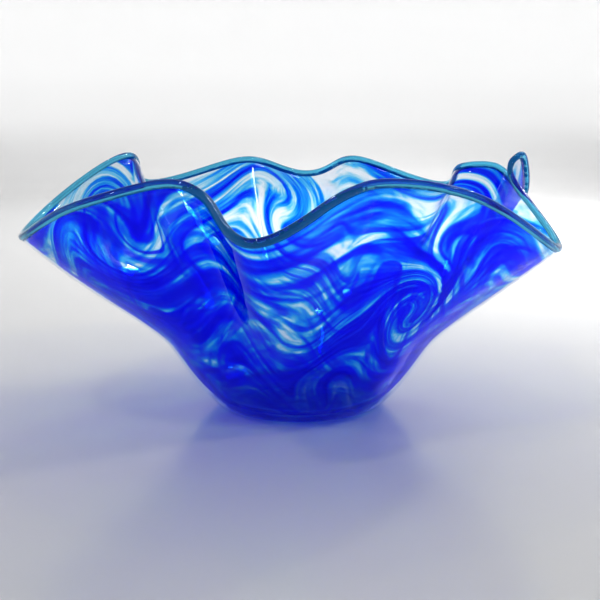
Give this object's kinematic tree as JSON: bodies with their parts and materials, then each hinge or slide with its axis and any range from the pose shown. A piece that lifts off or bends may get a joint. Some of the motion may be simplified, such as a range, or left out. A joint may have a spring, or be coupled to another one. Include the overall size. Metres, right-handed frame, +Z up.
{
  "type": "fluted art glass bowl",
  "caption": "Free-standing hand-blown fluted bowl with swirled blue glass between clear layers and a teal lip wrap.",
  "frame": {"origin": "centre of the flat ground on the underside, on the surface that the bowl stands on", "axes": "+Z up out of the bowl's mouth; -Y towards the side that the low front flute faces, +X to its right"},
  "size_m": [0.3093, 0.3273, 0.1518],
  "materials": {
    "clear_glass": "fire-polished clear glass",
    "swirled_colour": "cobalt, aqua and clear swirled glass",
    "teal_glass": "fire-polished teal glass"
  },
  "bodies": {
    "root": {"inner_gather": "clear_glass", "colour_layer": "swirled_colour", "outer_casing": "clear_glass", "lip_wrap": "teal_glass"}
  },
  "joints": []
}
